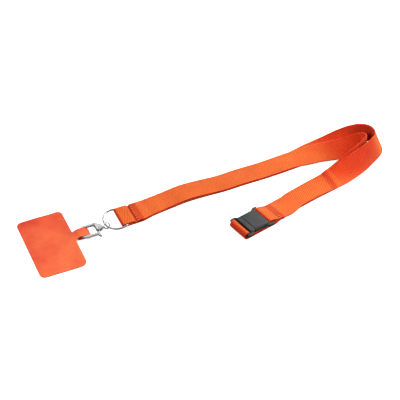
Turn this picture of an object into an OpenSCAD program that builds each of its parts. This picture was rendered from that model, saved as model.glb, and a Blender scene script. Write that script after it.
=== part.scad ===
/* [Webbing] */
// Width of the strap
webbing_w = 20; // [14:1:26]
// Thickness of the strap
webbing_t = 1; // [0.8:0.1:1.2]
// Gap between stacked layers of strap
layer_gap = 0.15; // [0.1:0.05:0.25]
// Length of the folded tail beyond a seam
tail_l = 5; // [3:0.5:8]

/* [Split ring] */
// Outer diameter of the split ring
ring_d = 23.6; // [23.2:0.2:24.4]
// Radial width of the ring's wire
ring_wire_w = 1.2; // [1:0.1:1.3]
// Height of the two coils together
ring_h = 1.6; // [1.2:0.1:1.8]

/* [Hook] */
// Thickness of the hook's body
hook_t = 3.6; // [3.2:0.1:4]
// Thickness of the bow, arms and nose
bow_t = 2.2; // [2:0.1:2.8]
// Clear width of the hook's mouth
mouth_w = 10.6; // [9:0.2:13]
// Width of the hook's arms
arm_w = 1.8; // [1.6:0.1:2.4]
// Diameter of the hole in the swivel eye
eye_hole_d = 4; // [3.8:0.1:4.4]
// Thickness of the swivel eye's wire
eye_wire_d = 1.1; // [0.9:0.1:1.3]
// Diameter of the swivel stud
stud_d = 1.8; // [1.4:0.1:2.2]
// Diameter of the gate's pin
pin_d = 1.1; // [0.9:0.1:1.4]
// Turn of the gate from shut to open, degrees
gate_open = 25; // [15:1:28]

/* [Tether patch] */
// Length of the patch across the tongue
patch_w = 71; // [60:1:85]
// Length of the patch along the tongue
patch_l = 40; // [34:1:48]
// Corner radius of the patch
patch_r = 5; // [2:0.5:8]
// Thickness of the patch's face sheet
patch_t = 0.35; // [0.25:0.05:0.45]
// Thickness of the backing sheet
backing_t = 0.2; // [0.15:0.05:0.3]
// Width of the tongue
tongue_w = 9.8; // [8:0.2:12]
// Length of the tongue from the patch to its fold
tongue_l = 14; // [12.5:0.5:16]

/* [Buckle] */
// Width of the buckle's body
buckle_w = 20.4; // [20:0.2:24]
// Thickness of the buckle's body
buckle_t = 4.8; // [4.4:0.1:6]
// Length of the socket's body
socket_l = 14.3; // [12:0.1:16]
// Length of the plug's collar
collar_l = 4.5; // [3:0.1:6]
// Diameter of the strap bars
bar_d = 2.4; // [2:0.1:2.8]
// Length of the spring prongs inside the socket
prong_l = 12; // [8:0.5:12.5]
// Wall of the socket
socket_wall = 1.2; // [1:0.1:1.5]

/* [Hidden] */
strap_colour = [0.9, 0.37, 0.18];
thread_colour = [0.8, 0.25, 0.1];
steel_colour = [0.8, 0.8, 0.82];
patch_colour = [0.95, 0.45, 0.29];
plastic_colour = [0.25, 0.25, 0.26];
half_w = webbing_w / 2;
pitch = webbing_t + layer_gap;
run_clear = 0.05;
part_gap = 0.3;
up = [0, 0, 1];

// Places on the table: where the strap folds round the ring, and the middle of the buckle
fold_pos = [-75.9, -20.9, 1.65];
fold_dir = 26;
fold_bank = 6;
buckle_pos = [38, -27.8, 0];
buckle_dir = 37.5;
tether_dir = 23.5;

// Route of the outer strap's middle line: x, y, height of its lower edge, bank in degrees
outer_route = [
    [-52, -6.8, 0.2, 2], [-36, 3.4, 0.1, 0], [-20, 12.4, 0.5, 0], [-4, 19.6, 0.5, 0],
    [12, 26.4, 0.1, 0], [30, 35.3, 0.05, 0], [50, 44.4, 0.1, 0.5], [74, 57, 0.1, 2],
    [93.6, 68.8, 0.05, 10], [111.2, 76, 0.05, 26], [126.4, 81.6, 0.05, 52], [139.5, 85.4, 0.2, 80],
    [149, 85.2, 0.2, 102], [154.8, 79.2, 0.3, 112], [153.8, 69.8, 0.4, 115],
    [146, 58.8, 0.5, 118], [136, 48.6, 0.6, 131], [123, 38, 0.9, 150], [108, 27.5, 1.3, 168],
    [91.3, 17, 1.5, 178], [74.7, 4.3, 1.3, 180]];
// Route of the inner strap, from the ring's seam to the buckle
inner_route = [
    [-52, -6.8, 1.5, 2], [-36, 3.4, 1.7, 0], [-20, 12.4, 2.6, 0], [-4, 19.6, 2.1, 0],
    [12, 26.4, 1.3, 0], [30, 35.3, 1.45, 0], [50, 44.4, 1.3, 0.5], [74, 56.6, 1.3, 2],
    [89, 61.8, 1.2, 7], [101, 65.8, 1.1, 13], [113, 68, 0.9, 20], [125, 70, 0.6, 30],
    [135, 71.8, 0.3, 49], [141, 72.2, 0.05, 76], [143.6, 68.8, 0.05, 98],
    [140.8, 61.6, 0.05, 112], [133, 51.6, 0.05, 130], [121.5, 40.5, 0.05, 152],
    [107, 28.4, 0.05, 169], [91.3, 17, 0.05, 178], [74.7, 4.3, 0.05, 180], [58.5, -8.6, 0.05, 180]];
route_steps = 2;

// Vectors and frames
function unit(v) = v / norm(v);
function flat_dir(a) = [cos(a), sin(a), 0];
function banked(a, b) = cos(b) * flat_dir(a + 90) + sin(b) * up;
function lift(b) = half_w * sin(b) + webbing_t / 2;

// Catmull-Rom curve through a route, every value of a point together
function curve_at(p, i, t) = let (
    a = p[max(i - 1, 0)], b = p[i], c = p[i + 1], d = p[min(i + 2, len(p) - 1)])
    0.5 * (2 * b + (c - a) * t + (2 * a - 5 * b + 4 * c - d) * t * t
    + (3 * b - a - 3 * c + d) * t * t * t);
function curve(p, steps) = concat(
    [for (i = [0 : len(p) - 2]) for (k = [0 : steps - 1]) curve_at(p, i, k / steps)],
    [p[len(p) - 1]]);
function heading(q, i) = let (d = q[min(i + 1, len(q) - 1)] - q[max(i - 1, 0)]) atan2(d[1], d[0]);

// A station is the strap's middle point and its width direction
function route_stations(p) = let (q = curve(p, route_steps))
    [for (i = [0 : len(q) - 1])
        [[q[i][0], q[i][1], q[i][2] + lift(q[i][3])], banked(heading(q, i), q[i][3])]];

// Closed strap of rectangular section along stations
module ribbon(s) {
    n = len(s);
    points = [for (i = [0 : n - 1]) let (
        run = unit(s[min(i + 1, n - 1)][0] - s[max(i - 1, 0)][0]),
        across = unit(s[i][1] - (s[i][1] * run) * run),
        face = cross(run, across))
        for (c = [[1, -1], [-1, -1], [-1, 1], [1, 1]])
            s[i][0] + c[0] * half_w * across + c[1] * webbing_t / 2 * face];
    sides = [for (i = [0 : n - 2]) for (k = [0 : 3]) let (
        a = 4 * i + k, b = 4 * i + (k + 1) % 4)
        for (f = k == 2 ? [[a, b, a + 4], [b, b + 4, a + 4]] : [[a, b, b + 4], [a, b + 4, a + 4]]) f];
    polyhedron(points, concat([[3, 2, 1], [3, 1, 0]], sides,
        [[4 * n - 4, 4 * n - 3, 4 * n - 2], [4 * n - 4, 4 * n - 2, 4 * n - 1]]));
}

// Ring end of the outer strap
ring_run = flat_dir(fold_dir);
ring_across = banked(fold_dir, fold_bank);
ring_up = cross(ring_run, ring_across);
pocket_r = (ring_h + 2 * layer_gap + webbing_t) / 2;
pocket_x = pocket_r + webbing_t / 2;
ring_r = (ring_d - ring_wire_w) / 2;
ring_back = 1.4;
ring_side = -0.1;
seam_lift = 0.15;
pocket_end = ring_d / 2 - ring_back + 0.3;
seam_x = pocket_end + 2.6;
ring_pos = fold_pos - ring_back * ring_run + ring_side * ring_across + pocket_r * ring_up;
function by_ring(x, h) = [fold_pos + x * ring_run + h * ring_up, ring_across];
ring_tail = [by_ring(seam_x + tail_l, pitch), by_ring(seam_x + tail_l / 2, pitch),
    by_ring(seam_x, pitch), by_ring(seam_x - 0.8, pitch + 0.4), by_ring(pocket_end + 0.7, 2 * pocket_r - 0.45),
    by_ring(pocket_end, 2 * pocket_r), by_ring(pocket_end - 3, 2 * pocket_r),
    by_ring(pocket_x + 2, 2 * pocket_r)];
ring_fold = [for (a = [90 : 30 : 270])
    by_ring(pocket_x + pocket_r * cos(a), pocket_r + pocket_r * sin(a))];
ring_flat = [by_ring(pocket_x + 4, 0), by_ring(seam_x - 4, 0), by_ring(seam_x + tail_l, 0)];

// Buckle ends of both straps; x runs along the buckle, away from the plug
buckle_run = flat_dir(buckle_dir);
buckle_across = banked(buckle_dir, 0);
bar_gap = 0.1;
wrap_r = bar_d / 2 + bar_gap + webbing_t / 2;
under_lift = 0.3;
thread_t = 0.2;
buckle_z = under_lift + 2 * webbing_t + layer_gap + thread_t + part_gap;
bar_z = buckle_z + buckle_t / 2 - 0.3;
slot_w = webbing_t + 1.1;
groove = 0.2;
socket_x0 = -4.65;
socket_x1 = socket_x0 + socket_l;
socket_bar_x = socket_x1 + bar_gap + webbing_t + bar_gap + bar_d / 2 + 0.65;
collar_x1 = socket_x0 - groove;
collar_x0 = collar_x1 - collar_l;
plug_bar_x = collar_x0 - slot_w - bar_d / 2;
function by_buckle(x, z) = [buckle_pos + x * buckle_run + z * up, buckle_across];
socket_seam_x = socket_bar_x + 9.8;
socket_tail_z = 0.05 + webbing_t + 0.25 + webbing_t / 2;
socket_fold = concat(
    [by_buckle(socket_seam_x + 12, 2.2), by_buckle(socket_seam_x + 6, 2.75),
     by_buckle(socket_seam_x + 2, socket_tail_z + pitch),
     by_buckle(socket_seam_x - 2, socket_tail_z + pitch + 0.1),
     by_buckle(socket_bar_x + 4.5, bar_z + 0.1), by_buckle(socket_bar_x + 2, bar_z + wrap_r - 0.35)],
    [for (a = [90 : 30 : 270])
        by_buckle(socket_bar_x + wrap_r * cos(a), bar_z + wrap_r * sin(a))],
    [by_buckle(socket_bar_x + 1.6, bar_z - wrap_r - 0.2), by_buckle(socket_bar_x + 5, socket_tail_z + 0.1),
     by_buckle(socket_seam_x - 2, socket_tail_z), by_buckle(socket_seam_x + tail_l, socket_tail_z)]);
under_z = under_lift + webbing_t / 2;
plug_tail_z = under_z + pitch;
loop_r = (bar_z + wrap_r - under_z) / 2;
loop_x = plug_bar_x - 0.1;
split_x = socket_x1 + 1;
plug_tail_x = plug_bar_x + 15;
plug_loop = concat(
    [by_buckle(split_x, under_z), by_buckle(4, under_z), by_buckle(-4, under_z),
     by_buckle(plug_bar_x + 4, under_z)],
    [for (a = [270 : -22.5 : 90]) by_buckle(loop_x + loop_r * cos(a), under_z + loop_r + loop_r * sin(a))],
    [for (a = [75 : -25 : 0]) by_buckle(plug_bar_x + wrap_r * cos(a), bar_z + wrap_r * sin(a))],
    [by_buckle(plug_bar_x + wrap_r, plug_tail_z + 1.5)],
    [for (a = [210 : 30 : 270])
        by_buckle(plug_bar_x + wrap_r + 1.3 + 1.3 * cos(a), plug_tail_z + 1.3 + 1.3 * sin(a))],
    [by_buckle(plug_tail_x - 5, plug_tail_z), by_buckle(plug_tail_x, plug_tail_z)]);

module outer_strap() {
    color(strap_colour)
        ribbon(concat(ring_tail, ring_fold, ring_flat, route_stations(outer_route), socket_fold));
}

module inner_strap() {
    color(strap_colour)
        ribbon(concat([by_ring(seam_x + 0.6, 2 * pitch + seam_lift), by_ring(seam_x + tail_l / 2, 2 * pitch + seam_lift),
                by_ring(seam_x + tail_l, 2 * pitch + seam_lift)],
            route_stations(inner_route),
            [by_buckle(socket_bar_x + 4, 0.1 + webbing_t / 2), by_buckle(split_x + part_gap, under_z)]));
}

module inner_strap_plug_loop() {
    color(strap_colour) ribbon(plug_loop);
}

// A row of stitches across the strap; each is a short rounded bar
stitch_n = 7;
stitch_l = 2.2;
stitch_d = 0.5;
module stitch_row(pos, across, run) {
    step = (webbing_w - 4) / (stitch_n - 1);
    for (i = [0 : stitch_n - 1]) {
        p = pos + (i - (stitch_n - 1) / 2) * step * across;
        multmatrix([[run[0], across[0], 0, p[0]], [run[1], across[1], 0, p[1]],
                    [run[2], across[2], 1, p[2]], [0, 0, 0, 1]])
            translate([-stitch_l / 2, -stitch_d / 2, -thread_t / 2])
                cube([stitch_l, stitch_d, thread_t]);
    }
}
thread_up = webbing_t / 2 + thread_t / 2 + 0.02;
function ring_seam_at(h) = by_ring(seam_x + 1.6, h)[0];
function buckle_seam_at(x, z) = by_buckle(x, z)[0];
plug_seam_x = plug_bar_x + 10;

module ring_seam_top_thread() {
    color(thread_colour) stitch_row(ring_seam_at(2 * pitch + seam_lift + thread_up), ring_across, ring_run);
}
module ring_seam_bobbin_thread() {
    color(thread_colour) stitch_row(ring_seam_at(-thread_up - 0.06), ring_across, ring_run);
}
module socket_seam_top_thread() {
    color(thread_colour)
        stitch_row(buckle_seam_at(socket_seam_x, socket_tail_z + pitch + thread_up + 0.08), buckle_across, buckle_run);
}
module socket_seam_bobbin_thread() {
    color(thread_colour)
        stitch_row(buckle_seam_at(socket_seam_x, socket_tail_z - thread_up), buckle_across, buckle_run);
}
module plug_seam_top_thread() {
    color(thread_colour)
        stitch_row(buckle_seam_at(plug_seam_x, plug_tail_z + thread_up), buckle_across, buckle_run);
}
module plug_seam_bobbin_thread() {
    color(thread_colour)
        stitch_row(buckle_seam_at(plug_seam_x, under_z - thread_up), buckle_across, buckle_run);
}

// The ring lies in the plane of the strap's pocket
module in_ring_frame() {
    rotate([0, 0, fold_dir]) rotate([fold_bank, 0, 0]) children();
}
module split_ring() {
    coil_h = ring_h / 2 - 0.02;
    translate(ring_pos) in_ring_frame() color(steel_colour) {
        for (s = [-1, 1])
            translate([0, 0, s * ring_h / 4 - coil_h / 2])
                rotate_extrude($fn = 64) translate([ring_r - ring_wire_w / 2, 0]) square([ring_wire_w, coil_h]);
        rotate([0, 0, 150]) translate([ring_r, 0, 0]) cube([ring_wire_w - 0.2, 1.4, 0.3], center = true);
    }
}

// Hook frame: x runs from the eye to the bow, y to the gate's side, z up
eye_r = (eye_hole_d + eye_wire_d) / 2;
eye_roll = 30;
eye_lift = 0.04;
hook_z = eye_lift + eye_wire_d / 2 + eye_r * cos(eye_roll);
eye_in = 0.3;
eye_dir = 226;
eye_pos = [ring_pos[0] + (ring_r - eye_in) * cos(eye_dir), ring_pos[1] + (ring_r - eye_in) * sin(eye_dir), hook_z];
module in_hook_frame() {
    translate(eye_pos) rotate([0, 0, tether_dir + 180]) children();
}
neck_x0 = eye_r + eye_wire_d / 2 + 0.25;
neck_x1 = neck_x0 + 1.3;
stud_head_d = stud_d + 1;
stud_head_l = 0.7;
head_room = 0.2;
neck_d = hook_t;
pin_x = neck_x1 + 2.7;
pin_y = 0.9;
mouth_x = pin_x + 2.3;
mouth_y = 0.7;
bow_x = mouth_x + 8.5;
bow_outer_r = mouth_w / 2 + arm_w;
nose_x = bow_x - 2.2;
slot_h = 1.6;
gate_h = 1.0;
root_r = 1.2;
bow_mid_x = bow_x + bow_outer_r - arm_w / 2;

module swivel_eye() {
    in_hook_frame() rotate([eye_roll, 0, 0]) color(steel_colour) {
        rotate([90, 0, 0]) rotate_extrude($fn = 48) translate([eye_r, 0]) circle(d = eye_wire_d, $fn = 24);
        translate([eye_r, 0, 0]) rotate([0, 90, 0])
            cylinder(d = stud_d, h = neck_x1 + head_room - eye_r + stud_head_l, $fn = 48);
        translate([neck_x1 + head_room, 0, 0]) rotate([0, 90, 0])
            cylinder(d = stud_head_d, h = stud_head_l, $fn = 48);
    }
}

module base_outline() {
    polygon([[neck_x1 - 0.2, -neck_d / 2], [pin_x, -4.4], [mouth_x - 1.2, -bow_outer_r + mouth_y + 0.5],
             [mouth_x + 0.5, -bow_outer_r + mouth_y], [mouth_x + 0.5, -mouth_w / 2 + mouth_y],
             [mouth_x, -mouth_w / 2 + mouth_y + 1.2], [mouth_x, 1.6], [mouth_x - 0.8, 2.6],
             [pin_x, 3], [neck_x1 - 0.2, neck_d / 2]]);
}
module bow_outline() {
    translate([mouth_x, -bow_outer_r + mouth_y]) square([bow_x - mouth_x + 0.01, arm_w]);
    intersection() {
        translate([bow_x, mouth_y]) difference() {
            circle(r = bow_outer_r, $fn = 64);
            circle(r = mouth_w / 2, $fn = 64);
        }
        translate([bow_x, mouth_y - bow_outer_r]) square([bow_outer_r, 2 * bow_outer_r]);
    }
    translate([nose_x, mouth_y + mouth_w / 2]) square([bow_x - nose_x + 0.01, arm_w]);
}
module hook_body() {
    in_hook_frame() color(steel_colour) difference() {
        union() {
            translate([0, 0, -hook_t / 2]) linear_extrude(hook_t) base_outline();
            translate([0, 0, -bow_t / 2]) linear_extrude(bow_t) bow_outline();
            translate([neck_x0, 0, 0]) rotate([0, 90, 0]) cylinder(d = neck_d, h = neck_x1 - neck_x0 + 0.2, $fn = 48);
        }
        translate([neck_x0 - 1, 0, 0]) rotate([0, 90, 0])
            cylinder(r = stud_d / 2 + run_clear, h = neck_x1 - neck_x0 + 2, $fn = 48);
        translate([neck_x1, 0, 0]) rotate([0, 90, 0])
            cylinder(d = stud_head_d + 2 * head_room, h = stud_head_l + 2 * head_room, $fn = 48);
        gate_slot();
        translate([pin_x, pin_y, -hook_t]) cylinder(r = pin_d / 2 + run_clear, h = 2 * hook_t, $fn = 32);
        translate([pin_x, pin_y, hook_t / 2 - 0.4]) cylinder(d = pin_d + 0.7, h = 1, $fn = 32);
    }
}
module gate_slot() {
    translate([0, 0, -slot_h / 2]) linear_extrude(slot_h) {
        translate([pin_x, pin_y]) circle(r = root_r + part_gap, $fn = 48);
        polygon([[pin_x - root_r - part_gap, pin_y], [mouth_x + 1, pin_y - 0.6], [mouth_x + 1, 8], [pin_x - root_r - part_gap, 8]]);
    }
}

arm_in_y = mouth_y + mouth_w / 2;
gate_tip_x = nose_x - 0.25;
module gate_lever() {
    in_hook_frame() color(steel_colour) {
        translate([0, 0, -slot_h / 2 + 0.15]) difference() {
            linear_extrude(gate_h) {
                translate([pin_x, pin_y]) circle(r = root_r, $fn = 48);
                polygon([[pin_x - 0.3, pin_y + 0.5], [pin_x + 1.6, pin_y - 0.15], [mouth_x + 0.4, arm_in_y - 1],
                         [mouth_x + 0.6, arm_in_y + 1], [pin_x + 1.6, arm_in_y + 0.8]]);
            }
            translate([pin_x, pin_y, -1]) cylinder(r = pin_d / 2 + run_clear, h = 4, $fn = 32);
        }
        translate([0, 0, -bow_t / 2]) linear_extrude(bow_t) {
            polygon([[pin_x + 1.4, arm_in_y - 0.6], [mouth_x - 0.4, arm_in_y - 1.2], [mouth_x + 0.8, arm_in_y],
                     [gate_tip_x, arm_in_y], [gate_tip_x, arm_in_y + arm_w], [mouth_x - 0.6, arm_in_y + arm_w - 0.2]]);
            polygon([[pin_x + 1.4, arm_in_y - 0.6], [mouth_x - 0.6, arm_in_y + arm_w - 0.2],
                     [pin_x + 2.9, arm_in_y + 2.4], [pin_x + 1.6, arm_in_y + 4.2], [pin_x + 0.3, arm_in_y + 4.7],
                     [pin_x + 0.9, arm_in_y + 3.2]]);
        }
    }
}
module gate_pin() {
    in_hook_frame() color(steel_colour)
        translate([pin_x, pin_y, -hook_t / 2 + 0.1]) cylinder(d = pin_d, h = hook_t - 0.4, $fn = 32);
}
module gate_spring() {
    in_hook_frame() color(steel_colour)
        translate([pin_x, pin_y, slot_h / 2 - 0.38]) rotate_extrude($fn = 48)
            translate([pin_d / 2 + 0.15, 0]) square([0.5, 0.33]);
}

// Patch frame: x runs from the patch to the hook, the sheet's underside at height 0
table_gap = 0.02;
bow_reach = 4.25;
patch_edge_x = bow_mid_x + arm_w / 2 + bow_reach;
tongue_under = table_gap + backing_t;
loop_gap = 0.1;
loop_top = hook_z + bow_t / 2 + loop_gap;
hinge_gap = 0.5;
module in_patch_frame() {
    in_hook_frame() translate([patch_edge_x, mouth_y, -hook_z]) rotate([0, 0, 180]) children();
}
module rounded_sheet(l, w, r, t) {
    linear_extrude(t) union() {
        translate([r, 0]) square([l - 2 * r, w]);
        translate([0, r]) square([l, w - 2 * r]);
        for (x = [r, l - r]) for (y = [r, w - r]) translate([x, y]) circle(r = r, $fn = 48);
    }
}
// Side view of the tongue's loop: flat over the bow, round at the fold, closed flat at the patch
fold_r = 0.9;
bow_room = 0.3;
loop_x0 = patch_edge_x - bow_x - bow_outer_r - bow_room;
loop_x1 = patch_edge_x - bow_x - 1.4;
module loop_profile(inset) {
    hull() {
        translate([hinge_gap + 4 * inset, inset]) square([0.1, max(patch_t - 2 * inset, 0.05)]);
        translate([loop_x0 + inset / 2, inset]) square([loop_x1 - loop_x0 - inset, loop_top - tongue_under + patch_t - 2 * inset]);
        translate([tongue_l - fold_r, fold_r]) circle(r = fold_r - inset, $fn = 32);
    }
}
module tongue_loop() {
    in_patch_frame() translate([0, tongue_w / 2, tongue_under]) rotate([90, 0, 0]) color(patch_colour)
        linear_extrude(tongue_w) difference() {
            loop_profile(0);
            loop_profile(patch_t);
        }
}
module patch_face() {
    in_patch_frame() translate([0, 0, tongue_under]) color(patch_colour)
        translate([-patch_l, -patch_w / 2, 0]) rounded_sheet(patch_l, patch_w, patch_r, patch_t);
}
module patch_backing() {
    in_patch_frame() color("dimgray") translate([-patch_l, -patch_w / 2, table_gap])
        rounded_sheet(patch_l, patch_w, patch_r, backing_t - 0.01);
}

// Buckle frame: x runs from the plug to the socket, the table at height 0
module in_buckle_frame() {
    translate(buckle_pos) rotate([0, 0, buckle_dir]) children();
}
chamfer = 0.7;
module body_block(x0, x1) {
    z1 = buckle_z + buckle_t;
    y1 = buckle_w / 2;
    translate([x0, 0, 0]) rotate([90, 0, 90]) linear_extrude(x1 - x0)
        polygon([[-y1, buckle_z + chamfer], [-y1 + chamfer, buckle_z], [y1 - chamfer, buckle_z], [y1, buckle_z + chamfer],
                 [y1, z1 - chamfer], [y1 - chamfer, z1], [-y1 + chamfer, z1], [-y1, z1 - chamfer]]);
}
ear_w = 2.4;
ear_y0 = half_w + 0.35;
module strap_bar(bar_x, body_x) {
    side = sign(bar_x - body_x);
    translate([bar_x, ear_y0 + ear_w, bar_z]) rotate([90, 0, 0]) cylinder(d = bar_d, h = 2 * (ear_y0 + ear_w), $fn = 32);
    for (s = [-1, 1]) translate([0, 0, bar_z - bar_d / 2]) linear_extrude(bar_d) {
        translate([bar_x, s * (ear_y0 + ear_w / 2)]) circle(d = ear_w, $fn = 32);
        polygon([[bar_x, s * ear_y0], [body_x - side * 1, s * ear_y0], [body_x - side * 1, s * (buckle_w / 2 - 1)],
                 [body_x - side * 3, s * (buckle_w / 2 - 1)], [body_x - side * 3, s * (buckle_w / 2)],
                 [body_x, s * (ear_y0 + ear_w)], [bar_x, s * (ear_y0 + ear_w)]]);
    }
}
cavity_w = buckle_w - 2 * (socket_wall + chamfer / 2);
prong_gap = 0.15;
prong_w = 2.8;
prong_y = cavity_w / 2 - prong_gap - prong_w;
cavity_z0 = buckle_z + socket_wall;
cavity_h = buckle_t - 2 * socket_wall;
module buckle_socket() {
    in_buckle_frame() color(plastic_colour) difference() {
        union() {
            body_block(socket_x0, socket_x1);
            strap_bar(socket_bar_x, socket_x1);
        }
        translate([socket_x0 - 1, -cavity_w / 2, cavity_z0]) cube([socket_l - socket_wall + 1, cavity_w, cavity_h]);
    }
}
module buckle_plug() {
    in_buckle_frame() color(plastic_colour) {
        body_block(collar_x0, collar_x1);
        strap_bar(plug_bar_x, collar_x0);
        translate([collar_x1 - 0.01, 0, cavity_z0 + prong_gap]) linear_extrude(cavity_h - 2 * prong_gap) {
            for (s = [-1, 1])
                polygon([[0, s * prong_y], [prong_l - 1.5, s * prong_y], [prong_l, s * (prong_y + 1)],
                         [prong_l, s * (prong_y + prong_w - 1)], [prong_l - 2, s * (prong_y + prong_w)],
                         [prong_l - 4, s * (prong_y + prong_w)], [prong_l - 4.6, s * (prong_y + prong_w - 0.5)],
                         [0, s * (prong_y + prong_w - 0.5)]]);
            translate([0, -1.2]) square([prong_l - 2, 2.4]);
        }
    }
}

outer_strap();
inner_strap();
inner_strap_plug_loop();
ring_seam_top_thread();
ring_seam_bobbin_thread();
socket_seam_top_thread();
socket_seam_bobbin_thread();
plug_seam_top_thread();
plug_seam_bobbin_thread();
split_ring();
swivel_eye();
hook_body();
gate_lever();
gate_pin();
gate_spring();
tongue_loop();
patch_face();
patch_backing();
buckle_socket();
buckle_plug();
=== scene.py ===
"""Flat woven neck lanyard with a split ring, trigger hook, phone patch and breakaway buckle."""
import bisect
import math

import bpy
from mathutils import Matrix, Vector


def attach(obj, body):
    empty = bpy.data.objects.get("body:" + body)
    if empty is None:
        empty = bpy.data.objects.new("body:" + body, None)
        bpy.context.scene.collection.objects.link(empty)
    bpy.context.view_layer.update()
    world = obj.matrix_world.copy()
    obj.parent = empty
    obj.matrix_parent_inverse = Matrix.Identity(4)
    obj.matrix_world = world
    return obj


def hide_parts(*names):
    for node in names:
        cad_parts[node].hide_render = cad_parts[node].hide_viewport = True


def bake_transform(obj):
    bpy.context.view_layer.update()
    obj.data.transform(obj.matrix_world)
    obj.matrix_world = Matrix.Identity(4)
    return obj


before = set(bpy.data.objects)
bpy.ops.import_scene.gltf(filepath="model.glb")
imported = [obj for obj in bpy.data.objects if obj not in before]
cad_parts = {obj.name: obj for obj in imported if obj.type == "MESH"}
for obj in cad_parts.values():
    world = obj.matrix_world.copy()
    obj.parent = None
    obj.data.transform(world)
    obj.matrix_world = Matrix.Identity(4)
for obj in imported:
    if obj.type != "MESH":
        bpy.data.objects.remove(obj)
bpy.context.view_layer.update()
scene = bpy.context.scene
MM = 0.001

# ---- Camera ---------------------------------------------------------------------------------
# A long lens from the front, 41.5 degrees above the table.
LOOK_AT = Vector((-0.006, 0.006, 0.0))
STAND_AT = Vector((-0.006, -0.7804, 0.6958))
SENSOR_MM, LENS_MM = 36.0, 109.1
camera = bpy.data.objects.new("camera", bpy.data.cameras.new("camera"))
scene.collection.objects.link(camera)
camera.location = STAND_AT
camera.rotation_euler = (LOOK_AT - STAND_AT).to_track_quat("-Z", "Y").to_euler()
camera.data.sensor_width = SENSOR_MM
camera.data.lens = LENS_MM
camera.data.clip_end = 20.0
scene.camera = camera

# ---- Studio ---------------------------------------------------------------------------------
# A white sweep, four soft lights and a narrow one. Metal mirrors a sky of its own, which is dark
# towards the horizon, so that its edges draw dark lines.
scene.view_settings.view_transform = "Standard"
scene.view_settings.look = "Medium High Contrast"
FLOOR_SIZE, FLOOR_DROP = 8.0, 0.0001


def wire(tree, kind, inputs=None, **settings):
    """A node with its settings and its inputs, each a value or another node's output."""
    node = tree.nodes.new(kind)
    for name, value in settings.items():
        setattr(node, name, value)
    for name, value in (inputs or {}).items():
        socket = node.inputs[name]
        if isinstance(value, bpy.types.NodeSocket):
            tree.links.new(value, socket)
        else:
            socket.default_value = value
    return node


def ramp(tree, fac, stops):
    """A colour ramp through (place, colour) stops."""
    node = wire(tree, "ShaderNodeValToRGB", {"Fac": fac})
    elements = node.color_ramp.elements
    while len(elements) < len(stops):
        elements.new(0.5)
    for element, (place, colour) in zip(elements, stops):
        element.position = place
        element.color = (*colour, 1.0)
    return node.outputs["Color"]


def finish_material(name):
    """A new material with one Principled shader, wired to its output."""
    material = bpy.data.materials.new(name)
    material.use_nodes = True
    tree = material.node_tree
    tree.nodes.clear()
    shader = wire(tree, "ShaderNodeBsdfPrincipled")
    wire(tree, "ShaderNodeOutputMaterial", {"Surface": shader.outputs["BSDF"]})
    return material, tree, shader


def emboss(tree, shader, height, strength, depth):
    """Bumps on a material, their depth in metres."""
    bump = wire(tree, "ShaderNodeBump", {"Height": height, "Strength": strength,
                                         "Distance": depth})
    tree.links.new(bump.outputs["Normal"], shader.inputs["Normal"])


bpy.ops.object.select_all(action="DESELECT")
bpy.ops.mesh.primitive_plane_add(size=FLOOR_SIZE, location=(0, 0, -FLOOR_DROP))
floor = bpy.context.object
floor.name = "studio_floor"
floor_paint, tree, shader = finish_material("studio_white")
# The sweep is white to look at, but throws back little light, as one set far off would.
SWEEP_WHITE, SWEEP_GLOW = (0.95, 0.95, 0.95, 1), 0.5
SWEEP_SHADE, SWEEP_MIRRORED = (0.32, 0.31, 0.3, 1), (0.3, 0.3, 0.3, 1)
rays = wire(tree, "ShaderNodeLightPath").outputs
thrown = wire(tree, "ShaderNodeMix", {0: rays["Is Glossy Ray"]}, data_type="RGBA")
thrown.inputs[6].default_value, thrown.inputs[7].default_value = SWEEP_SHADE, SWEEP_MIRRORED
sweep = wire(tree, "ShaderNodeMix", {0: rays["Is Camera Ray"]}, data_type="RGBA")
tree.links.new(thrown.outputs[2], sweep.inputs[6])
sweep.inputs[7].default_value = SWEEP_WHITE
tree.links.new(sweep.outputs[2], shader.inputs["Base Color"])
shader.inputs["Roughness"].default_value = 1.0
shader.inputs["Specular IOR Level"].default_value = 0.0
shader.inputs["Emission Color"].default_value = (1, 1, 1, 1)
lift = wire(tree, "ShaderNodeMath", {0: rays["Is Camera Ray"], 1: SWEEP_GLOW},
            operation="MULTIPLY")
tree.links.new(lift.outputs[0], shader.inputs["Emission Strength"])
floor.data.materials.append(floor_paint)

world = bpy.data.worlds.new("studio_sky")
scene.world = world
world.use_nodes = True
tree = world.node_tree
tree.nodes.clear()
direction = wire(tree, "ShaderNodeTexCoord").outputs["Generated"]
split = wire(tree, "ShaderNodeSeparateXYZ", {"Vector": direction}).outputs
# Bright above, behind and to the right; dim in front
SKY_STRENGTH, SKY_SEEN = 0.53, (2, 2, 2, 1)
behind = wire(tree, "ShaderNodeMath", {0: split["Y"], 1: 0.35, 2: split["Z"]},
              operation="MULTIPLY_ADD").outputs[0]
glow = wire(tree, "ShaderNodeMath", {0: split["X"], 1: 0.3, 2: behind},
            operation="MULTIPLY_ADD").outputs[0]
soft_sky = ramp(tree, glow, [(0.0, (0.34, 0.33, 0.32)), (0.3, (0.45, 0.44, 0.43)),
                             (0.62, (0.9, 0.9, 0.9)), (1.0, (1, 1, 1))])
mirrored_sky = ramp(tree, glow, [(0.0, (0.02, 0.02, 0.02)), (0.25, (0.06, 0.06, 0.06)),
                                 (0.5, (0.75, 0.75, 0.75)), (1.0, (1.3, 1.3, 1.3))])
rays = wire(tree, "ShaderNodeLightPath").outputs
sky = wire(tree, "ShaderNodeMix", {0: rays["Is Glossy Ray"]}, data_type="RGBA")
tree.links.new(soft_sky, sky.inputs[6])
tree.links.new(mirrored_sky, sky.inputs[7])
seen_sky = wire(tree, "ShaderNodeMix", {0: rays["Is Camera Ray"]}, data_type="RGBA")
tree.links.new(sky.outputs[2], seen_sky.inputs[6])
seen_sky.inputs[7].default_value = SKY_SEEN
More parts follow.
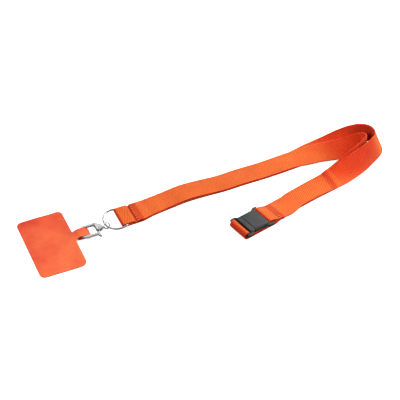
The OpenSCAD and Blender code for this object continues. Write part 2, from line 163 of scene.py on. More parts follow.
background = wire(tree, "ShaderNodeBackground", {"Color": seen_sky.outputs[2],
                                                 "Strength": SKY_STRENGTH})
wire(tree, "ShaderNodeOutputWorld", {"Surface": background.outputs["Background"]})


def hang_lamp(name, kind, place, aim, power):
    """A lamp of a kind and power, turned towards the point that it lights."""
    lamp = bpy.data.objects.new(name, bpy.data.lights.new(name, kind))
    scene.collection.objects.link(lamp)
    lamp.location = place
    lamp.rotation_euler = (aim - Vector(place)).to_track_quat("-Z", "Y").to_euler()
    lamp.data.energy = power
    return lamp.data


for name, place, size, power in (("key_light", (0.6, 0.7, 1.1), 0.8, 6.6),
                                 ("fill_light", (-0.9, 0.2, 1.2), 0.9, 4.5),
                                 ("rim_light", (1.2, 0.15, 0.5), 0.5, 9.0),
                                 ("bend_light", (-0.45, -0.6, 0.65), 0.5, 2.4)):
    hang_lamp(name, "AREA", place, LOOK_AT, power).size = size
# The narrow lamp looks into the strap's bend.
BEND_AT = Vector((0.146, 0.076, 0.01))
spot = hang_lamp("bend_spot", "SPOT", (-0.15, -0.35, 0.4), BEND_AT, 11.0)
spot.shadow_soft_size, spot.spot_size, spot.spot_blend = 0.08, math.radians(13), 1.0

# ---- Outer strap ----------------------------------------------------------------------------
# 20 mm polyester webbing, woven flat and 1 mm thick. It comes up round the split ring, lies
# under the other layer, bends round on edge, and goes over the socket's bar and back under.
# A route's rows are x, y and the lower edge's height in mm, and the bank in degrees.
WEBBING_W, WEBBING_T, SELVEDGE_R = 20 * MM, 1 * MM, 0.3 * MM
STRAP_STEP, ROUTE_STEPS = 0.7 * MM, 12
STRAP_CELLS = 34
UP = Vector((0, 0, 1))
FOLD_AT, FOLD_DIR, FOLD_BANK = Vector((-75.9, -20.9, 1.65)) * MM, 26.0, 6.0
BUCKLE_AT, BUCKLE_DIR = Vector((38, -27.8, 0)) * MM, 37.5
OUTER_ROUTE = [
    (-52, -6.8, 0.2, 2), (-36, 3.4, 0.1, 0), (-20, 12.4, 0.5, 0), (-4, 19.6, 0.5, 0),
    (12, 26.4, 0.1, 0), (30, 35.3, 0.05, 0), (50, 44.4, 0.1, 0.5), (74, 57, 0.1, 2),
    (93.6, 68.8, 0.05, 10), (111.2, 76, 0.05, 26), (126.4, 81.6, 0.05, 52),
    (139.5, 85.4, 0.2, 80), (149, 85.2, 0.2, 102), (154.8, 79.2, 0.3, 112),
    (153.8, 69.8, 0.4, 115), (146, 58.8, 0.5, 118), (136, 48.6, 0.6, 131),
    (123, 38, 0.9, 150), (108, 27.5, 1.3, 168), (91.3, 17, 1.5, 178), (74.7, 4.3, 1.3, 180)]


def heading(angle):
    return Vector((math.cos(math.radians(angle)), math.sin(math.radians(angle)), 0))


def banked(angle, bank):
    return (math.cos(math.radians(bank)) * heading(angle + 90)
            + math.sin(math.radians(bank)) * UP)


RING_RUN, RING_ACROSS = heading(FOLD_DIR), banked(FOLD_DIR, FOLD_BANK)
RING_UP = RING_RUN.cross(RING_ACROSS)
BUCKLE_RUN, BUCKLE_ACROSS = heading(BUCKLE_DIR), banked(BUCKLE_DIR, 0)


def by_ring(x, h):
    """A station at the ring's end of a strap: its middle point and its width direction."""
    return FOLD_AT + x * MM * RING_RUN + h * MM * RING_UP, RING_ACROSS


def by_buckle(x, z):
    return BUCKLE_AT + x * MM * BUCKLE_RUN + z * MM * UP, BUCKLE_ACROSS


def turn(centre_x, centre_z, radius, angles, by=by_buckle):
    """Stations round a fold."""
    return [by(centre_x + radius * math.cos(math.radians(a)),
               centre_z + radius * math.sin(math.radians(a))) for a in angles]


def route_stations(route, steps=ROUTE_STEPS):
    """Stations along a smooth curve through a route of x, y, lower edge's height and bank."""
    rows = []
    for i in range(len(route) - 1):
        a, b, c, d = (route[min(max(k, 0), len(route) - 1)] for k in range(i - 1, i + 3))
        for k in range(steps):
            t = k / steps
            rows.append([0.5 * (2 * q + (r - p) * t + (2 * p - 5 * q + 4 * r - s) * t * t
                                + (3 * q - p - 3 * r + s) * t ** 3)
                         for p, q, r, s in zip(a, b, c, d)])
    rows.append(list(route[-1]))
    stations = []
    for i, (x, y, low, bank) in enumerate(rows):
        p, q = rows[max(i - 1, 0)], rows[min(i + 1, len(rows) - 1)]
        angle = math.degrees(math.atan2(q[1] - p[1], q[0] - p[0]))
        rise = WEBBING_W / 2 * math.sin(math.radians(bank)) + WEBBING_T / 2
        stations.append((Vector((x, y, low)) * MM + rise * UP, banked(angle, bank)))
    return stations


def even_stations(stations, soften=0.5 * MM):
    """The same line at even steps, its corners softened as thick webbing softens them."""
    places = [0.0]
    for (a, _), (b, _) in zip(stations, stations[1:]):
        places.append(places[-1] + (b - a).length)

    def at(s):
        s = min(max(s, 0.0), places[-1])
        i = min(max(bisect.bisect_right(places, s) - 1, 0), len(stations) - 2)
        t = (s - places[i]) / max(places[i + 1] - places[i], 1e-9)
        return (stations[i][0].lerp(stations[i + 1][0], t),
                stations[i][1].lerp(stations[i + 1][1], t))

    count = round(places[-1] / STRAP_STEP)
    taps = [(k * soften, math.exp(-k * k / 2)) for k in (-2, -1.33, -0.67, 0, 0.67, 1.33, 2)]
    even = []
    for i in range(count + 1):
        s = places[-1] * i / count
        room = min(1.0, s / (2 * soften), (places[-1] - s) / (2 * soften))
        found = [(at(s + d * room), w) for d, w in taps]
        total = sum(w for _, w in taps)
        even.append((sum((f[0] * w for f, w in found), Vector()) / total,
                     sum((f[1] * w for f, w in found), Vector()).normalized()))
    return even, places[-1]


# Seams: middle of the row, directions along and across the strap and up, reach up and down
STITCHES, SEAM_MARGIN = 7, 2 * MM
STITCH_PITCH = (WEBBING_W - 2 * SEAM_MARGIN) / (STITCHES - 1)
# What a seam does to the webbing, in mm: half the size of the hole that a stitch pulls, its depth,
# and the band beyond the row, which is painted darker as painted shade; the holes get painted
# shade too. No seam is felt further off than its reach.
HOLE_HALF_W, HOLE_HALF_L, HOLE_DEPTH = 0.62, 1.5, 0.3
BAND_AT, BAND_HALF_W, BAND_SHADE = 3.4, 2.1, 0.42
SEAM_REACH_ALONG, SEAM_REACH_ACROSS = 9, 12
SEAMS = {"ring": (*by_ring(14.9, 1.15)[:1], RING_RUN, RING_ACROSS, RING_UP, 2.2 * MM),
         "socket": (*by_buckle(22.5, 3.48)[:1], BUCKLE_RUN, BUCKLE_ACROSS, UP, 1.2 * MM),
         "plug": (*by_buckle(-2.65, 1.38)[:1], BUCKLE_RUN, BUCKLE_ACROSS, UP, 1.1 * MM)}

# A soft crease across the leg that the buckle is on, where the strap was once folded: a dip with a
# swell beyond it, in mm, and the painted shade in the dip.
CREASE_AT, CREASE_RUN, CREASE_REACH = Vector((106, 27, 3.4)) * MM, heading(33), 16
CREASE_HALF_W, DIP_DEPTH, DIP_SHADE, SWELL_AT, SWELL_RISE = 2.4, 0.2, 0.3, 4.5, 0.3


def seam_press(point):
    """How the lock stitches pull the webbing towards the middle of its layers at a point, and how
    much shade is painted on it there: in the stitch holes, in the band beyond the row and in the
    crease's dip."""
    pull, shade = Vector(), 0.0
    for centre, run, across, face, reach in SEAMS.values():
        gap = point - centre
        along, side, off = gap.dot(run) / MM, gap.dot(across) / MM, gap.dot(face)
        if abs(along) > SEAM_REACH_ALONG or abs(side) > SEAM_REACH_ACROSS or abs(off) > reach:
            continue
        rows = ((k - (STITCHES - 1) / 2) * STITCH_PITCH / MM for k in range(STITCHES))
        hole = max(math.exp(-((side - at) / HOLE_HALF_W) ** 2 - (along / HOLE_HALF_L) ** 4)
                   for at in rows)
        band = BAND_SHADE * math.exp(-((along - BAND_AT) / BAND_HALF_W) ** 4)
        shade = max(shade, hole, band)
        if abs(off) > HOLE_DEPTH * MM:
            pull -= math.copysign(HOLE_DEPTH * MM * hole, off) * face
    gap = point - CREASE_AT
    if gap.length < CREASE_REACH * MM:
        beyond = gap.dot(CREASE_RUN) / MM
        dip = math.exp(-(beyond / CREASE_HALF_W) ** 2)
        swell = math.exp(-((beyond - SWELL_AT) / CREASE_HALF_W) ** 2)
        shade = max(shade, DIP_SHADE * dip)
        pull += (SWELL_RISE * swell - DIP_DEPTH * dip) * MM * UP
    return pull, shade


# The photo's strap is a deeper red where its faces turn to the front and left. The real one is
# presumably one colour; this paints that shading in, by the way each face points.
SHADE_PAINT_WAY, SHADE_PAINT_FROM, SHADE_PAINT_FULL = Vector((-0.3, -1.0, 0)), 0.12, 0.45


def weave_strap(name, stations):
    """A strap: a grid laid along its stations, given its thickness and worn, rounded edges."""
    even, length = even_stations(stations)
    rows = len(even)
    bpy.ops.object.select_all(action="DESELECT")
    bpy.ops.mesh.primitive_grid_add(x_subdivisions=rows - 1, y_subdivisions=STRAP_CELLS,
                                    size=1.0, calc_uvs=True)
    strap = bpy.context.object
    strap.name = name
    mesh = strap.data
    spots = [(round((v.co.x + 0.5) * (rows - 1)), v.co.y * WEBBING_W) for v in mesh.vertices]
    lines = []
    for i in range(rows):
        run = (even[min(i + 1, rows - 1)][0] - even[max(i - 1, 0)][0]).normalized()
        across = (even[i][1] - even[i][1].dot(run) * run).normalized()
        lines.append((even[i][0], across))
    # The painted shade of the stitch holes, the bands beyond the rows and the crease's dip, kept
    # on each point of the mesh.
    painted_seam_crease_shade = mesh.attributes.new("painted_seam_crease_shade", "FLOAT", "POINT")
    for v, (i, side) in zip(mesh.vertices, spots):
        at = lines[i][0] + side * lines[i][1]
        pull, painted_seam_crease_shade.data[v.index].value = seam_press(at)
        v.co = at + pull
    uv = mesh.uv_layers.active.data
    for loop in mesh.loops:
        i, side = spots[loop.vertex_index]
        uv[loop.index].uv = (length * i / (rows - 1), side)
    thick = strap.modifiers.new("thickness", "SOLIDIFY")
    thick.thickness, thick.offset, thick.use_even_offset = WEBBING_T, 0.0, False
    bpy.ops.object.modifier_apply(modifier="thickness")
    bpy.ops.object.mode_set(mode="EDIT")
    bpy.ops.mesh.select_all(action="SELECT")
    bpy.ops.mesh.normals_make_consistent(inside=False)
    bpy.ops.object.mode_set(mode="OBJECT")
    edge = strap.modifiers.new("selvedge", "BEVEL")
    edge.width, edge.segments, edge.limit_method = SELVEDGE_R, 2, "ANGLE"
    edge.angle_limit = math.radians(60)
    bpy.ops.object.modifier_apply(modifier="selvedge")
    bpy.ops.object.shade_smooth()
    # Painted shade: faces turned to the front and left are painted a darker red.
    painted_shade = strap.data.attributes.new("painted_shade", "FLOAT", "POINT")
    for v in strap.data.vertices:
        turned = min(max((v.normal.dot(SHADE_PAINT_WAY) - SHADE_PAINT_FROM) / (SHADE_PAINT_FULL - SHADE_PAINT_FROM), 0), 1)
        painted_shade.data[v.index].value = turned * turned * (3 - 2 * turned)
    return strap, length


def yarn_group():
    """Woven yarns: ribs along the strap crossed by slanting picks, with broken, fuzzy rows."""
    group = bpy.data.node_groups.new("woven_yarns", "ShaderNodeTree")
    face = group.interface
    face.new_socket("Place", in_out="INPUT", socket_type="NodeSocketVector")
    for label, value in (("Rib", 0.00125), ("Pick", 0.0016), ("Slant", 0.34)):
        face.new_socket(label, in_out="INPUT", socket_type="NodeSocketFloat").default_value = value
    face.new_socket("Height", in_out="OUTPUT", socket_type="NodeSocketFloat")
    face.new_socket("Shade", in_out="OUTPUT", socket_type="NodeSocketFloat")
    given = group.nodes.new("NodeGroupInput").outputs

    def math_node(kind, a, b=0.0):
        return wire(group, "ShaderNodeMath", {0: a, 1: b}, operation=kind).outputs[0]

    split = wire(group, "ShaderNodeSeparateXYZ", {"Vector": given["Place"]}).outputs
    ribs = math_node("DIVIDE", split["Y"], given["Rib"])
    picks = math_node("DIVIDE", split["X"], given["Pick"])
    rib = math_node("ABSOLUTE", math_node("SINE", math_node("MULTIPLY", ribs, math.pi)))
    step = math_node("MULTIPLY", math_node("FLOOR", ribs), given["Slant"])
    pick = math_node("SINE", math_node("MULTIPLY", math_node("ADD", picks, step), 2 * math.pi))
    lifted = math_node("ADD", math_node("MULTIPLY", pick, 0.38), 0.62)
    height_out = math_node("MULTIPLY", rib, lifted)
    fuzz = wire(group, "ShaderNodeTexNoise", {"Vector": given["Place"], "Scale": 900.0,
                                              "Detail": 3.0, "Roughness": 0.6}).outputs["Fac"]
    shade = math_node("ADD", math_node("MULTIPLY", height_out, 0.7),
                      math_node("MULTIPLY", fuzz, 0.45))
    out = group.nodes.new("NodeGroupOutput")
    group.links.new(height_out, out.inputs["Height"])
    group.links.new(shade, out.inputs["Shade"])
    return group


woven_yarns = yarn_group()
webbing, tree, shader = finish_material("orange_webbing")
place = wire(tree, "ShaderNodeUVMap").outputs["UV"]
yarns = wire(tree, "ShaderNodeGroup", node_tree=woven_yarns)
tree.links.new(place, yarns.inputs["Place"])
tone = ramp(tree, yarns.outputs["Shade"], [
    (0.1, (0.5, 0.035, 0.005)), (0.45, (0.92, 0.155, 0.021)), (0.9, (1.0, 0.33, 0.058))])
side = wire(tree, "ShaderNodeSeparateXYZ", {"Vector": place}).outputs["Y"]
edge_at = wire(tree, "ShaderNodeMath", {0: side}, operation="ABSOLUTE").outputs[0]
edge_share = wire(tree, "ShaderNodeMath", {0: edge_at, 1: 2 / WEBBING_W}, operation="MULTIPLY")
# Across the strap: a darker line just inside each selvedge, and the edge itself painted lighter
# than the middle, a painted highlight.
selvedge = ramp(tree, edge_share.outputs[0],
                [(0.0, (0.9, 0.88, 0.86)), (0.84, (0.9, 0.88, 0.86)), (0.89, (0.78, 0.66, 0.62)),
                 (0.94, (1, 1, 1)), (1.0, (1, 1, 1))])
patchy = wire(tree, "ShaderNodeTexNoise", {"Vector": place, "Scale": 55.0, "Detail": 2.0})
worn = ramp(tree, patchy.outputs["Fac"], [(0.3, (0.9, 0.82, 0.8)), (0.7, (1.0, 1.0, 1.0))])
# Painted shade: the stitch holes, the bands beyond the rows and the crease's dip are painted
# darker.
seam_crease_shade = wire(tree, "ShaderNodeAttribute", attribute_name="painted_seam_crease_shade").outputs["Fac"]
seam_crease_shade_tint = ramp(tree, seam_crease_shade, [(0.0, (1, 1, 1)), (0.42, (0.8, 0.45, 0.36)),
                             (1.0, (0.36, 0.08, 0.05))])
# Painted shade: faces turned to the front and left are painted a darker red.
turned = wire(tree, "ShaderNodeAttribute", attribute_name="painted_shade").outputs["Fac"]
painted_shade_tint = ramp(tree, turned, [(0.0, (1, 1, 1)), (1.0, (0.86, 0.33, 0.24))])
shade = tone
for layer in (selvedge, worn, seam_crease_shade_tint, painted_shade_tint):
    mixed = wire(tree, "ShaderNodeMix", data_type="RGBA", blend_type="MULTIPLY")
    mixed.inputs[0].default_value = 1.0
    tree.links.new(shade, mixed.inputs[6])
    tree.links.new(layer, mixed.inputs[7])
    shade = mixed.outputs[2]
tree.links.new(shade, shader.inputs["Base Color"])
emboss(tree, shader, yarns.outputs["Height"], 1.0, 0.00045)
# Polyester lets a little red light through.
shader.inputs["Roughness"].default_value = 0.72
shader.inputs["Specular IOR Level"].default_value = 0.3
shader.inputs["Subsurface Weight"].default_value = 0.12
shader.inputs["Subsurface Radius"].default_value = (1.0, 0.16, 0.03)
shader.inputs["Subsurface Scale"].default_value = 0.0012
shader.inputs["Sheen Weight"].default_value = 0.1
shader.inputs["Sheen Roughness"].default_value = 0.4

outer_line = (
    [by_ring(x, h) for x, h in ((18.3, 1.15), (15.8, 1.15), (13.3, 1.15), (12.5, 1.55),
                                (11.4, 2.45), (10.7, 2.9), (7.7, 2.9), (3.95, 2.9))]
    + turn(1.95, 1.45, 1.45, range(90, 271, 15), by_ring)
    + [by_ring(x, 0) for x in (5.95, 9.3, 18.3)]
    + route_stations(OUTER_ROUTE)
    + [by_buckle(x, z) for x, z in ((36, 2.15), (30.5, 2.35), (27.5, 2.9), (25, 3.6), (22.5, 4.05),
                                    (20, 4.5), (17.2, 5.6), (14.7, 6.55))]
    + turn(12.7, 5.05, 1.8, range(90, 271, 15))
    + [by_buckle(x, z) for x, z in ((14.3, 3.2), (17.7, 3.1), (20, 3.0), (22.5, 2.9), (25, 2.45),
                                    (27.5, 1.9))])
outer_webbing, outer_length = weave_strap("outer_webbing", outer_line)
outer_webbing.data.materials.append(webbing)
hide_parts("outer_strap")
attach(outer_webbing, "root")

# ---- Inner strap ----------------------------------------------------------------------------
# The same webbing, 24 mm shorter. It is cut at the ring's seam, lies on the outer strap, bends
# inside it, and runs on beneath the buckle, up round the plug's bar and back through its slot.
INNER_ROUTE = [
    (-52, -6.8, 1.5, 2), (-36, 3.4, 1.7, 0), (-20, 12.4, 2.6, 0), (-4, 19.6, 2.1, 0),
    (12, 26.4, 1.3, 0), (30, 35.3, 1.45, 0), (50, 44.4, 1.3, 0.5), (74, 56.6, 1.3, 2),
    (89, 61.8, 1.2, 7), (101, 65.8, 1.1, 13), (113, 68, 0.9, 20), (125, 70, 0.6, 30),
    (135, 71.8, 0.3, 49), (141, 72.2, 0.05, 76), (143.6, 68.8, 0.05, 98),
    (140.8, 61.6, 0.05, 112), (133, 51.6, 0.05, 130), (121.5, 40.5, 0.05, 152),
    (107, 28.4, 0.05, 169), (91.3, 17, 0.05, 178), (74.7, 4.3, 0.05, 180),
    (58.5, -8.6, 0.05, 180)]
inner_line = [by_ring(x, 2.45) for x in (13.9, 15.8, 18.3)] + route_stations(INNER_ROUTE)
# Beneath the other strap the line is parted in two pieces, at the route's row 18: the second
# follows the plug.
PART_ROW = 18
PART_AT = 3 + ROUTE_STEPS * PART_ROW
plug_line = (
    inner_line[PART_AT:]
    + [by_buckle(x, z) for x, z in ((16.7, 0.6), (10.65, 0.8), (4, 0.8), (-4, 0.8), (-8.65, 0.8))]
    + turn(-12.75, 3.825, 3.025, range(270, 89, -12))
    + turn(-12.65, 5.05, 1.8, range(75, -1, -15)) + [by_buckle(-10.85, 3.45)]
    + turn(-9.55, 3.25, 1.3, range(210, 271, 15))
    + [by_buckle(x, 1.95) for x in (-2.65, 2.35)])
inner_webbing, inner_length = weave_strap("inner_webbing", inner_line[:PART_AT + 1])
plug_webbing, plug_length = weave_strap("plug_webbing", plug_line)
for strap, length in ((inner_webbing, inner_length), (plug_webbing, plug_length)):
    strap.data.materials.append(webbing)
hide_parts("inner_strap")
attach(inner_webbing, "root")
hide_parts("inner_strap_plug_loop")
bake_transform(plug_webbing)

# ---- Seams ----------------------------------------------------------------------------------
# Lock stitches in orange polyester thread, seven a row, set into the webbing; each row has its
# needle thread above and its bobbin thread beneath. The thread is painted a dark red, a painted
# shade for the shadow in the stitch holes.
STITCH_L, STITCH_W, STITCH_T = 3.1 * MM, 0.75 * MM, 0.36 * MM
STITCH_BLUNT, STITCH_DIP = 0.6, 0.6
thread, tree, shader = finish_material("stitch_thread_painted_shade")
place = wire(tree, "ShaderNodeTexCoord").outputs["Object"]
ply = wire(tree, "ShaderNodeTexNoise", {"Vector": place, "Scale": 2500.0, "Detail": 2.0})
# Painted shade: the thread is a dark red that stands for the shadow in the stitch holes.
tree.links.new(ramp(tree, ply.outputs["Fac"], [(0.3, (0.28, 0.008, 0.003)),
                                               (0.7, (0.48, 0.022, 0.006))]),
               shader.inputs["Base Color"])
emboss(tree, shader, ply.outputs["Fac"], 0.5, 0.0001)
shader.inputs["Roughness"].default_value = 0.55

bpy.ops.object.select_all(action="DESELECT")
bpy.ops.mesh.primitive_uv_sphere_add(segments=12, ring_count=8, radius=0.5)
stitch = bpy.context.object
for v in stitch.data.vertices:
    square = math.copysign(abs(2 * v.co.x) ** STITCH_BLUNT, v.co.x) / 2
    v.co = Vector((square * STITCH_L, v.co.y * STITCH_W,
                   v.co.z * STITCH_T - STITCH_DIP * STITCH_T * (2 * square) ** 4))
bpy.ops.object.shade_smooth()


def sew_row(name, node, body, seam, height, side):
    """One row of stitches, copied across the strap at a height above the seam's middle."""
    centre, run, across, face, _ = SEAMS[seam]
    copies = []
    for k in range(STITCHES):
        copy = stitch.copy()
        copy.data = stitch.data.copy()
        scene.collection.objects.link(copy)
        at = centre + (k - (STITCHES - 1) / 2) * STITCH_PITCH * across + height * MM * face
        turned = Matrix((run, side * across, side * face)).transposed().to_4x4()
        copy.data.transform(Matrix.Translation(at) @ turned)
        copies.append(copy)
    bpy.ops.object.select_all(action="DESELECT")
    for copy in copies:
        copy.select_set(True)
    bpy.context.view_layer.objects.active = copies[0]
    bpy.ops.object.join()
    row = copies[0]
    row.name = name
    row.data.materials.append(thread)
    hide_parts(node)
    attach(row, body)


for name, node, body, seam, height, side in (
        ("ring_stitches_top", "ring_seam_top_thread", "root", "ring", 1.5, 1),
        ("ring_stitches_under", "ring_seam_bobbin_thread", "root", "ring", -1.52, -1),
        ("socket_stitches_top", "socket_seam_top_thread", "root", "socket", 0.88, 1),
        ("socket_stitches_under", "socket_seam_bobbin_thread", "root", "socket", -0.88, -1),
        ("plug_stitches_top", "plug_seam_top_thread", "plug", "plug", 0.96, 1),
        ("plug_stitches_under", "plug_seam_bobbin_thread", "plug", "plug", -0.96, -1)):
    sew_row(name, node, body, seam, height, side)
bpy.data.objects.remove(stitch)

# ---- Split ring -----------------------------------------------------------------------------
# Nickel-plated spring steel wire of flat section, wound twice, with a step where the first turn
# passes over the second.
RING_AT = Vector((-77.0483, -21.7393, 3.0816)) * MM
RING_OUTER, RING_WIRE, RING_COIL = 11.8 * MM, 1.2 * MM, 0.78 * MM
RING_EDGE, RING_GAP, RING_STEPS = 0.22 * MM, 0.02 * MM, 144
# The wire starts on the ring's far side from the strap; degrees from the strap's direction.
RING_START = 200


def grain_group():
    """Fine surface grain with slow stains: a height for bumps and a mask for colour and gloss."""
    group = bpy.data.node_groups.new("surface_grain", "ShaderNodeTree")
    face = group.interface
    face.new_socket("Place", in_out="INPUT", socket_type="NodeSocketVector")
    for label in ("Grain", "Stain"):
        face.new_socket(label, in_out="INPUT", socket_type="NodeSocketFloat")
    face.new_socket("Height", in_out="OUTPUT", socket_type="NodeSocketFloat")
    face.new_socket("Mask", in_out="OUTPUT", socket_type="NodeSocketFloat")
    given = group.nodes.new("NodeGroupInput").outputs
    fine = wire(group, "ShaderNodeTexNoise", {"Vector": given["Place"], "Scale": given["Grain"],
                                              "Detail": 3.0, "Roughness": 0.55}).outputs["Fac"]
    slow = wire(group, "ShaderNodeTexNoise", {"Vector": given["Place"], "Scale": given["Stain"],
                                              "Detail": 4.0, "Roughness": 0.6}).outputs["Fac"]
    mixed = wire(group, "ShaderNodeMath", {0: fine, 1: 0.35}, operation="MULTIPLY").outputs[0]
    mask = wire(group, "ShaderNodeMath", {0: mixed, 1: slow}, operation="ADD").outputs[0]
    out = group.nodes.new("NodeGroupOutput")
    group.links.new(fine, out.inputs["Height"])
    group.links.new(mask, out.inputs["Mask"])
    return group


surface_grain = grain_group()


def grain_over(tree, place, grain, stain):
    """The surface grain at a material's own scales."""
    return wire(tree, "ShaderNodeGroup", {"Place": place, "Grain": grain, "Stain": stain},
                node_tree=surface_grain).outputs


def follow_stains(tree, shader, mask, low, high):
    """A roughness that goes up with the grain's mask."""
    rough = wire(tree, "ShaderNodeMapRange", {"Value": mask, "From Min": 0.4, "From Max": 0.9,
                                              "To Min": low, "To Max": high})
    tree.links.new(rough.outputs["Result"], shader.inputs["Roughness"])


def plated(name, grain, stain, dull, bright, rough, depth):
    """A plated metal: stained colour and gloss, and the grain of its bare metal."""
    material, tree, shader = finish_material(name)
    place = wire(tree, "ShaderNodeTexCoord").outputs["Object"]
    grains = grain_over(tree, place, grain, stain)
    tree.links.new(ramp(tree, grains["Mask"], [(0.45, dull), (0.85, bright)]),
                   shader.inputs["Base Color"])
    follow_stains(tree, shader, grains["Mask"], *rough)
    emboss(tree, shader, grains["Height"], 0.35, depth)
    shader.inputs["Metallic"].default_value = 1.0
    return material


nickel = plated("nickel_plate", 900.0, 250.0, (0.36, 0.36, 0.37), (0.56, 0.56, 0.57),
                (0.14, 0.26), 0.00003)
bpy.ops.object.select_all(action="DESELECT")
bpy.ops.mesh.primitive_plane_add(size=1.0)
split_ring = bpy.context.object
split_ring.name = "split_ring_wound"
for v in split_ring.data.vertices:
    v.co = Vector((RING_OUTER - RING_WIRE / 2 + v.co.x * RING_WIRE, 0, v.co.y * RING_COIL))
bpy.ops.object.mode_set(mode="EDIT")
bpy.ops.mesh.select_all(action="SELECT")
bpy.ops.mesh.bevel(offset=RING_EDGE, segments=3, affect="VERTICES")
bpy.ops.object.mode_set(mode="OBJECT")
wound = split_ring.modifiers.new("wound", "SCREW")
wound.angle, wound.screw_offset, wound.iterations = 2 * math.pi, 1.0, 2
wound.steps = wound.render_steps = RING_STEPS
wound.use_merge_vertices = False
bpy.ops.object.modifier_apply(modifier="wound")
STEP_FROM, STEP_OVER = 0.9, 0.14
for v in split_ring.data.vertices:
    turns = round(v.co.z * RING_STEPS) / RING_STEPS
    level = min(max((turns - STEP_FROM) / STEP_OVER, 0), 1)
    level = level * level * (3 - 2 * level) - 0.5
    v.co.z += level * (RING_COIL + RING_GAP) - turns
bpy.ops.object.mode_set(mode="EDIT")
bpy.ops.mesh.select_all(action="DESELECT")
bpy.ops.mesh.select_non_manifold()
bpy.ops.mesh.edge_face_add()
bpy.ops.mesh.select_all(action="SELECT")
bpy.ops.mesh.normals_make_consistent(inside=False)
bpy.ops.object.mode_set(mode="OBJECT")
bpy.ops.object.shade_smooth_by_angle(angle=math.radians(40))
split_ring.data.transform(Matrix.Translation(RING_AT)
                          @ Matrix.Rotation(math.radians(FOLD_DIR), 4, "Z")
                          @ Matrix.Rotation(math.radians(FOLD_BANK), 4, "X")
                          @ Matrix.Rotation(math.radians(RING_START), 4, "Z"))
split_ring.data.materials.append(nickel)
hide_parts("split_ring")
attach(split_ring, "ring")

# ---- Hook -----------------------------------------------------------------------------------
# Zinc die castings, tumbled and chromed: an eye on a swivel stud, the trigger hook that turns on
# it, and its sprung gate with a thumb lever on a riveted pin.
EYE_AT, TETHER_DIR = Vector((-84.62, -29.5801, 2.79836)) * MM, 23.5
HOOK_RUN, HOOK_SIDE = heading(TETHER_DIR + 180), heading(TETHER_DIR + 270)


def by_hook(x, y, z=0.0):
    return EYE_AT + x * MM * HOOK_RUN + y * MM * HOOK_SIDE + z * MM * UP


def cast_piece(name, node, body, material, edge, segments=3, limit=32):
    """A moulded piece from its CAD shape, its sharp edges rounded as the mould leaves them."""
    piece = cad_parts[node].copy()
    piece.data = piece.data.copy()
    for key in list(piece.keys()):
        del piece[key]
    piece.parent = None
    piece.name = name
    scene.collection.objects.link(piece)
    bpy.ops.object.select_all(action="DESELECT")
    piece.select_set(True)
    bpy.context.view_layer.objects.active = piece
    bpy.ops.object.mode_set(mode="EDIT")
    bpy.ops.mesh.select_all(action="SELECT")
    bpy.ops.mesh.remove_doubles(threshold=0.000002)
    bpy.ops.mesh.dissolve_limited(angle_limit=math.radians(1.5))
    bpy.ops.object.mode_set(mode="OBJECT")
    if piece.data.has_custom_normals:
        bpy.ops.mesh.customdata_custom_splitnormals_clear()
    if edge:
        rounding = piece.modifiers.new("rounding", "BEVEL")
        rounding.width, rounding.segments, rounding.limit_method = edge, segments, "ANGLE"
        rounding.angle_limit = math.radians(limit)
        rounding.harden_normals = False
        bpy.ops.object.modifier_apply(modifier="rounding")
    bpy.ops.object.shade_smooth_by_angle(angle=math.radians(40))
    piece.data.materials.clear()
    piece.data.materials.append(material)
    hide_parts(node)
    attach(piece, body)
    return piece


chrome = plated("chrome_plate", 700.0, 180.0, (0.78, 0.78, 0.79), (0.9, 0.9, 0.9),
                (0.07, 0.17), 0.00004)
cast_piece("swivel_eye_cast", "swivel_eye", "swivel", chrome, 0.12 * MM)
cast_piece("hook_cast", "hook_body", "hook", chrome, 0.62 * MM, 5)
cast_piece("gate_cast", "gate_lever", "gate", chrome, 0.45 * MM, 4)
pin_steel = plated("pin_steel", 1800.0, 500.0, (0.13, 0.13, 0.135), (0.3, 0.3, 0.31),
                   (0.3, 0.5), 0.00003)
cast_piece("gate_rivet", "gate_pin", "hook", pin_steel, 0.15 * MM)

spring_wire = plated("spring_wire", 2500.0, 700.0, (0.3, 0.3, 0.31), (0.48, 0.48, 0.5),
                     (0.28, 0.4), 0.00002)
COIL_R, COIL_WIRE_R, COIL_PITCH, COIL_STEPS = 0.92 * MM, 0.08 * MM, 0.165 * MM, 40
COIL_AT = (7.35, 0.9, 0.5)
bpy.ops.object.select_all(action="DESELECT")
bpy.ops.mesh.primitive_circle_add(vertices=10, radius=COIL_WIRE_R, fill_type="NGON")
gate_coil = bpy.context.object
gate_coil.name = "gate_coil_spring"
gate_coil.data.transform(Matrix.Translation((COIL_R, 0, 0))
                         @ Matrix.Rotation(math.pi / 2, 4, "X"))
coiled = gate_coil.modifiers.new("coiled", "SCREW")
coiled.angle, coiled.screw_offset, coiled.iterations = 2 * math.pi, COIL_PITCH, 1
coiled.steps = coiled.render_steps = COIL_STEPS
bpy.ops.object.modifier_apply(modifier="coiled")
gate_coil.data.transform(Matrix.Translation(by_hook(*COIL_AT)))
bpy.ops.object.mode_set(mode="EDIT")
bpy.ops.mesh.select_all(action="SELECT")
bpy.ops.mesh.normals_make_consistent(inside=False)
bpy.ops.object.mode_set(mode="OBJECT")
bpy.ops.object.shade_smooth()
gate_coil.data.materials.append(spring_wire)
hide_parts("gate_spring")
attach(gate_coil, "hook")

